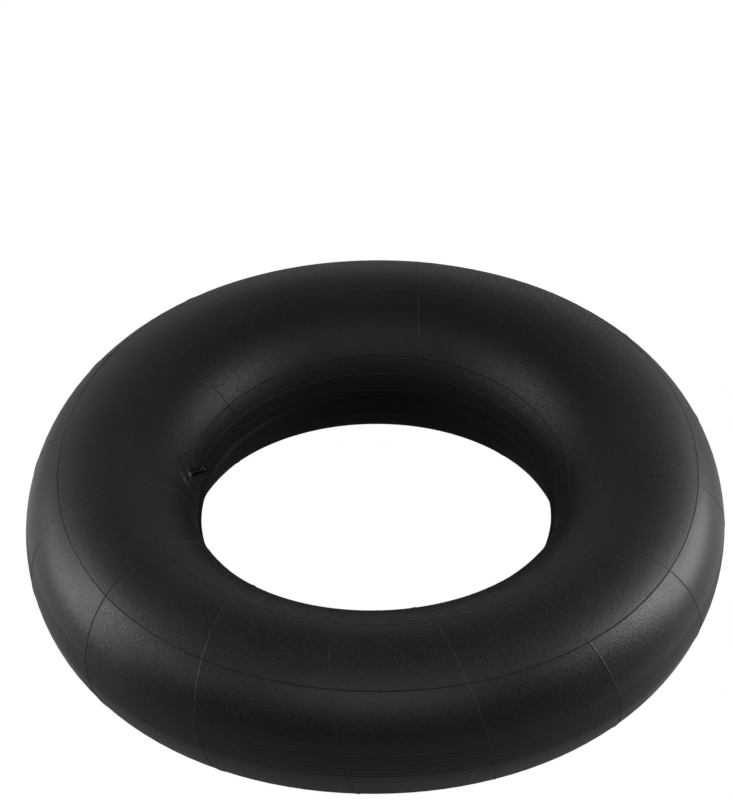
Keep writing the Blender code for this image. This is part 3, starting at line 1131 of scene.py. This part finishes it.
@dataclass
class ValveInsert:
    """The brass tube in the stem, threaded outside for the cap."""

    finish: TurnedMetalFinish = TurnedMetalFinish(
        "turned brass", (0.62, 0.47, 0.20), (0.40, 0.27, 0.11), 0.24)
    anchor_foot: float = 2.9 * MM
    anchor_top: float = 4.1 * MM
    anchor_radius: float = 5.0 * MM
    body_radius: float = 3.85 * MM
    root_radius: float = 3.42 * MM
    thread_foot: float = 16.0 * MM
    mouth: float = 24.4958 * MM
    mouth_chamfer: float = 0.18 * MM
    core_bore: float = 2.65 * MM
    bore_chamfer: float = 0.135 * MM
    bore_chamfer_depth: float = 0.225 * MM
    air_bore: float = 2.3 * MM
    seat_top: float = 16.7 * MM
    seat_foot: float = 15.3 * MM
    pitch: float = 0.794 * MM
    ridge_share: float = 0.46
    end_margin: float = 0.35 * MM
    steps: int = 64

    def build(self) -> None:
        """Make the insert with its thread."""
        profile = [
            (self.air_bore, self.anchor_foot), (self.anchor_radius, self.anchor_foot),
            (self.anchor_radius, self.anchor_top), (self.body_radius, self.anchor_top),
            (self.body_radius, self.thread_foot - self.end_margin), (self.root_radius, self.thread_foot),
            (self.root_radius, self.mouth - self.mouth_chamfer),
            (self.root_radius - self.mouth_chamfer, self.mouth),
            (self.core_bore + self.bore_chamfer, self.mouth),
            (self.core_bore, self.mouth - self.bore_chamfer_depth),
            (self.core_bore, self.seat_top), (self.air_bore, self.seat_foot),
        ]
        threaded = self.mouth - self.thread_foot - 2 * self.end_margin
        helix = Helix(self.root_radius, self.pitch, threaded / self.pitch,
                      self.thread_foot + self.end_margin, self.body_radius - self.root_radius,
                      self.pitch * self.ridge_share)
        piece = helix.wind("valve_insert_threaded", lathe(profile, self.steps), Section.THREAD,
                           self.finish.make())
        settle(piece, Body.TUBE, "valve_insert")


@dataclass
class ValveCore:
    """The valve core: a threaded plug, a barrel with its gasket, the pin, its spring and its cup."""

    brass: TurnedMetalFinish = TurnedMetalFinish(
        "core brass", (0.66, 0.50, 0.22), (0.45, 0.31, 0.13), 0.2)
    steel: TurnedMetalFinish = TurnedMetalFinish(
        "spring steel", (0.55, 0.55, 0.56), (0.36, 0.35, 0.34), 0.26)
    seal: MouldedFinish = MouldedFinish(
        "seal rubber", grey(0.018), grey(0.03), 0.6,
        Pattern(2600.0), 0.02 * MM, Pattern(900.0, 4.0, 0.6))
    packing: PackingFinish = PackingFinish()
    plug_radius: float = 2.35 * MM
    thread_depth: float = 0.22 * MM
    thread_pitch: float = 0.706 * MM
    thread_foot: float = 18.0 * MM
    thread_turns: float = 3.4
    ridge_share: float = 0.44
    spring_radius: float = 1.0 * MM
    wire_radius: float = 0.2 * MM
    spring_foot: float = 9.4 * MM
    spring_top: float = 13.4 * MM
    spring_turns: float = 5.5
    spring_run_out: float = 0.02
    spring_points: int = 28

    def build_plug(self, brass: Material) -> None:
        """Wind the thread onto a copy of the CAD plug.

        Args:
            brass: its material.
        """
        base = frame["nodes"]["core_plug"].data.copy()
        base.transform(VALVE.placement.inverted())
        helix = Helix(self.plug_radius, self.thread_pitch, self.thread_turns, self.thread_foot,
                      self.thread_depth, self.thread_pitch * self.ridge_share)
        piece = helix.wind("core_plug_threaded", base, Section.THREAD, brass)
        settle(piece, Body.TUBE, "core_plug")

    def build_spring(self) -> None:
        """Wind the return spring at its rest length; the real one shortens as the pin is pressed."""
        rise = self.spring_top - self.spring_foot
        helix = Helix(self.spring_radius, rise / self.spring_turns, self.spring_turns, self.spring_foot,
                      self.wire_radius, self.wire_radius, self.spring_run_out, self.spring_points)
        base = bpy.data.meshes.new("spring_start")
        piece = helix.wind("core_return_spring", base, Section.WIRE, self.steel.make())
        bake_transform(piece)
        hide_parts("core_spring")
        log.info("%s: %d faces between tube and plunger", piece.name, len(piece.data.polygons))

    def build(self) -> None:
        """Make the plug and the spring, and dress the CAD pieces that stay in view."""
        brass = self.brass.make()
        self.build_plug(brass)
        self.build_spring()
        for node in ("core_barrel", "core_pin", "core_cup"):
            dress(node, brass)
        dress("core_gasket", self.packing.make())
        dress("core_cup_seal", self.seal.make())


@dataclass
class DustCap:
    """The screw cap: a fluted plastic shell with a thread inside and a sealing disc in its crown."""

    plastic: MouldedFinish = MouldedFinish(
        "cap plastic", (0.0050, 0.0050, 0.0052), (0.0085, 0.0085, 0.0087), 0.26,
        Pattern(2200.0), 0.03 * MM, Pattern(260.0, 4.0, 0.6))
    seal: MouldedFinish = MouldedFinish(
        "cap seal rubber", grey(0.02), grey(0.032), 0.6,
        Pattern(2600.0), 0.02 * MM, Pattern(500.0, 4.0, 0.6))
    foot: float = 16.4 * MM
    top: float = 27.2 * MM
    ceiling: float = 25.7 * MM
    radius: float = 5.25 * MM
    bore: float = 4.15 * MM
    mouth_chamfer: float = 0.35 * MM
    foot_chamfer: float = 0.3 * MM
    edge: float = 1.0 * MM
    edge_end: float = 80.0
    edge_steps: int = 6
    crown_drop: float = 0.25 * MM
    crown_rings: tuple[float, ...] = (0.62, 0.4, 0.2)
    flutes: int = 12
    flute_depth: float = 0.42 * MM
    flute_sharpness: float = 1.6
    flute_foot: float = 17.3 * MM
    flute_top: float = 25.9 * MM
    flute_fade: float = 0.9 * MM
    flute_wall: float = 0.5 * MM
    thread_pitch: float = 0.794 * MM
    thread_turns: float = 7.5
    thread_foot: float = 17.4 * MM
    thread_depth: float = 0.2 * MM
    ridge_share: float = 0.4
    steps: int = 144
    rows: int = 14

    def press_flutes(self, shell: Mesh, material: Material) -> Mesh:
        """Press the grip flutes into the shell's outer skin.

        Args:
            shell: the plain shell.
            material: its material.

        Returns:
            The fluted shell.
        """
        shape = ShapeTree("press_flutes", material, count=self.flutes, depth=self.flute_depth,
                          sharpness=self.flute_sharpness, foot=self.flute_foot, top=self.flute_top,
                          fade=self.flute_fade, skin_radius=self.bore + self.flute_wall)
        x, y, height = shape.split(shape.get("GeometryNodeInputPosition"))
        turn = shape.math("ARCTAN2", y, x)
        radius = shape.math("SQRT", x * x + y * y)
        wave = shape.math("COSINE", turn * shape["Count"]) * 0.5 + 0.5
        groove = shape.math("POWER", wave, shape["Sharpness"])
        room = shape.math("MINIMUM", height - shape["Foot"], shape["Top"] - height)
        fade = shape.math("MINIMUM", shape.math("MAXIMUM", room / shape["Fade"], 0.0), 1.0)
        near_skin = shape.math("GREATER_THAN", radius, shape["Skin Radius"])
        share = 1.0 - groove * fade * near_skin * shape["Depth"] / radius
        pressed = shape.get("GeometryNodeSetPosition", {
            "Geometry": shape["Geometry"], "Position": shape.join(x * share, y * share, height)})
        return shape.run("dust_cap_shell", shell, pressed)

    def build(self) -> None:
        """Make the cap and dress the sealing disc."""
        low = self.foot + self.edge / 2
        high = self.top - self.edge
        side = [(self.radius, low + (high - low) * row / self.rows) for row in range(self.rows + 1)]
        crown = arc((self.radius - self.edge, high), self.edge, 0.0, self.edge_end, self.edge_steps)
        dome = [(self.radius * share, self.top - self.crown_drop * share * share)
                for share in self.crown_rings]
        profile = [(self.bore + self.mouth_chamfer, self.foot),
                   (self.radius - self.foot_chamfer, self.foot), *side, *crown[1:], *dome,
                   (0, self.top), (0, self.ceiling), (self.bore, self.ceiling),
                   (self.bore, self.foot + self.mouth_chamfer)]
        material = self.plastic.make()
        shell = self.press_flutes(lathe(profile, self.steps), material)
        helix = Helix(self.bore, self.thread_pitch, self.thread_turns, self.thread_foot,
                      -self.thread_depth, self.thread_pitch * self.ridge_share)
        piece = helix.wind("dust_cap", shell, Section.THREAD, material)
        settle(piece, Body.CAP, "valve_cap")
        dress("cap_gasket", self.seal.make())


@dataclass(frozen=True)
class Softbox:
    """One rectangular studio lamp, aimed at the ring.

    Attributes:
        name: the lamp's name.
        azimuth: its direction, in degrees to the right of the camera's own.
        elevation: its height above the floor, in degrees.
        width: its width.
        height: its height.
        power: its power in watts.
    """

    name: str
    azimuth: float
    elevation: float
    width: float
    height: float
    power: float


@dataclass
class Studio:
    """The white studio: floor, surroundings, lamps and the camera at the photograph's angle.

    The floor keeps the ring's shadow. Reflections see a painted shadow on it up to the shadow's
    reach from the middle, then its white as a painted reflection up to the mirrored reach, and more
    of it at the sides than in front and behind.
    """

    camera_azimuth: float = math.radians(5.8)
    camera_elevation: float = math.radians(41.213)
    camera_distance: float = 5.454
    camera_roll: float = math.radians(-0.49)
    focal_length: float = 157.61
    sensor_width: float = 36.0
    aim_right: float = -0.0116
    aim_ahead: float = 0.3910
    floor_size: float = 40.0
    floor_paint: float = 0.32
    white_share: float = 0.95
    floor_glow: float = 1.045
    shadow_reach: Range = (0.42, 0.56)
    mirrored_reach: Range = (0.8, 1.2)
    mirrored_share: float = 0.21
    mirrored_side_share: float = 0.59
    side_range: Range = (0.8, 0.97)
    surround: float = 0.045
    aim_height: float = 0.125
    lamp_distance: float = 2.6
    lamps: tuple[Softbox, ...] = (
        Softbox("lamp_left_low", -90.0, 5.0, 1.3, 0.5, 11.6),
        Softbox("lamp_left_low_side", -104.0, 5.0, 1.3, 0.5, 8.3),
        Softbox("lamp_left_rear", -130.0, 5.0, 1.3, 0.5, 1.8),
        Softbox("lamp_left_middle", -88.0, 23.0, 0.5, 0.4, 11.8),
        Softbox("lamp_left_high", -100.0, 30.0, 0.5, 0.4, 10.6),
        Softbox("lamp_left_front", -60.0, 30.0, 1.0, 1.0, 4.7),
        Softbox("lamp_right_low", 104.0, 5.0, 1.3, 0.5, 24.6),
        Softbox("lamp_right_rear", 130.0, 5.0, 1.3, 0.5, 3.5),
        Softbox("lamp_right_middle", 88.0, 23.0, 0.5, 0.4, 24.0),
        Softbox("lamp_right_high", 80.0, 36.0, 2.0, 0.6, 10.6),
        Softbox("lamp_front_high", 0.0, 36.0, 2.0, 0.8, 5.4),
        Softbox("lamp_above", 0.0, 55.0, 2.0, 1.0, 9.8),
        Softbox("lamp_back_low", 180.0, 5.0, 4.0, 0.4, 6.3),
        Softbox("lamp_back_high", 180.0, 30.0, 4.0, 1.4, 6.2),
    )

    def seen_white(self, board: Board, mirrored_share: Signal | float) -> Signal:
        """Tell the rays that see plain white: the camera's, and in part those of reflections.

        Args:
            board: the material's or the world's board.
            mirrored_share: the share of white that a reflection sees.

        Returns:
            The share of plain white.
        """
        rays = board.node("ShaderNodeLightPath").outputs
        camera, glossy, through = [Signal(board, rays[f"Is {kind} Ray"])
                                   for kind in ("Camera", "Glossy", "Transmission")]
        return board.math("MAXIMUM", camera, board.math("MAXIMUM", glossy, through) * mirrored_share)

    def lay_floor(self) -> None:
        """Lay the pale floor, which keeps the ring's shadow under its plain white."""
        half = self.floor_size / 2
        mesh = bpy.data.meshes.new("studio_floor")
        mesh.from_pydata([(-half, -half, 0), (half, -half, 0), (half, half, 0), (-half, half, 0)],
                         [], [(0, 1, 2, 3)])
        material = bpy.data.materials.new("studio white")
        material.use_nodes = True
        material.node_tree.nodes.clear()
        board = Board(material.node_tree)
        paint = board.get("ShaderNodeBsdfDiffuse", {"Color": rgba(grey(self.floor_paint))})
        glow = board.get("ShaderNodeEmission", {"Color": rgba(grey(1.0)), "Strength": self.floor_glow})
        where = board.get("ShaderNodeTexCoord", output="Object")
        reach = board.vector("LENGTH", where)
        # Painted shadow and painted reflection: reflections see no glow over the ring's shadow, and more
        # of it at the sides.
        past_painted_shadow = board.smooth_step(reach, *self.shadow_reach)
        side = board.math("ABSOLUTE", board.split(where)[0]) / reach
        share = board.smooth_step(side, *self.side_range, self.mirrored_share, self.mirrored_side_share)
        painted_reflection_share = board.smooth_step(reach, *self.mirrored_reach, share, 0.0)
        white = self.seen_white(board, past_painted_shadow * painted_reflection_share)
        shown = board.get("ShaderNodeMixShader", {0: white * self.white_share, 1: paint, 2: glow})
        board.node("ShaderNodeOutputMaterial", {"Surface": shown})
        link_piece("studio_floor", mesh, material)

    def light_surroundings(self) -> None:
        """Give the world a faint even light, and show it white."""
        world = bpy.data.worlds.new("studio")
        bpy.context.scene.world = world
        world.use_nodes = True
        world.node_tree.nodes.clear()
        board = Board(world.node_tree)
        strength = self.seen_white(board, self.surround) * (1.0 - self.surround) + self.surround
        glow = board.get("ShaderNodeBackground", {"Color": rgba(grey(1.0)), "Strength": strength})
        board.node("ShaderNodeOutputWorld", {"Surface": glow})

    def hang_lamps(self) -> None:
        """Hang the softboxes round the ring, aimed at its middle."""
        middle = Vector((0, 0, self.aim_height))
        for lamp in self.lamps:
            turn = self.camera_azimuth + math.radians(lamp.azimuth)
            rise = math.radians(lamp.elevation)
            away = Vector((math.sin(turn) * math.cos(rise), -math.cos(turn) * math.cos(rise),
                           math.sin(rise)))
            light = bpy.data.lights.new(lamp.name, "AREA")
            light.shape = "RECTANGLE"
            light.size = lamp.width
            light.size_y = lamp.height
            light.energy = lamp.power
            box = bpy.data.objects.new(lamp.name, light)
            box.location = middle + away * self.lamp_distance
            box.rotation_euler = away.to_track_quat("Z", "Y").to_euler()
            bpy.context.scene.collection.objects.link(box)

    def set_camera(self) -> None:
        """Set the camera at the photograph's viewing angle."""
        rise = self.camera_elevation
        lean = self.camera_roll
        right = Vector((1, 0, 0))
        up = Vector((0, math.sin(rise), math.cos(rise)))
        back = Vector((0, -math.cos(rise), math.sin(rise)))
        tilted_right = right * math.cos(lean) + up * math.sin(lean)
        tilted_up = up * math.cos(lean) - right * math.sin(lean)
        stand = Vector((self.aim_right, self.aim_ahead, 0)) + back * self.camera_distance
        pose = Matrix((tilted_right, tilted_up, back)).transposed().to_4x4()
        data = bpy.data.cameras.new("camera")
        data.sensor_width = self.sensor_width
        data.lens = self.focal_length
        data.clip_end = self.floor_size * 2
        camera = bpy.data.objects.new("camera", data)
        camera.matrix_world = (Matrix.Rotation(self.camera_azimuth, 4, "Z")
                               @ Matrix.Translation(stand) @ pose)
        bpy.context.scene.collection.objects.link(camera)
        bpy.context.scene.camera = camera

    def build(self) -> None:
        """Set up the whole studio."""
        self.lay_floor()
        self.light_surroundings()
        self.hang_lamps()
        self.set_camera()
        bpy.context.scene.view_settings.view_transform = "Standard"
        log.info("studio: %d lamps", len(self.lamps))


def main() -> None:
    """Build the studio and every piece."""
    logging.basicConfig(level=logging.INFO, format="%(message)s")
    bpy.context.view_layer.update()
    Studio().build()
    InflatedRing().build()
    ValveBase().build()
    ValveInsert().build()
    ValveCore().build()
    DustCap().build()


if __name__ == "__main__":
    main()
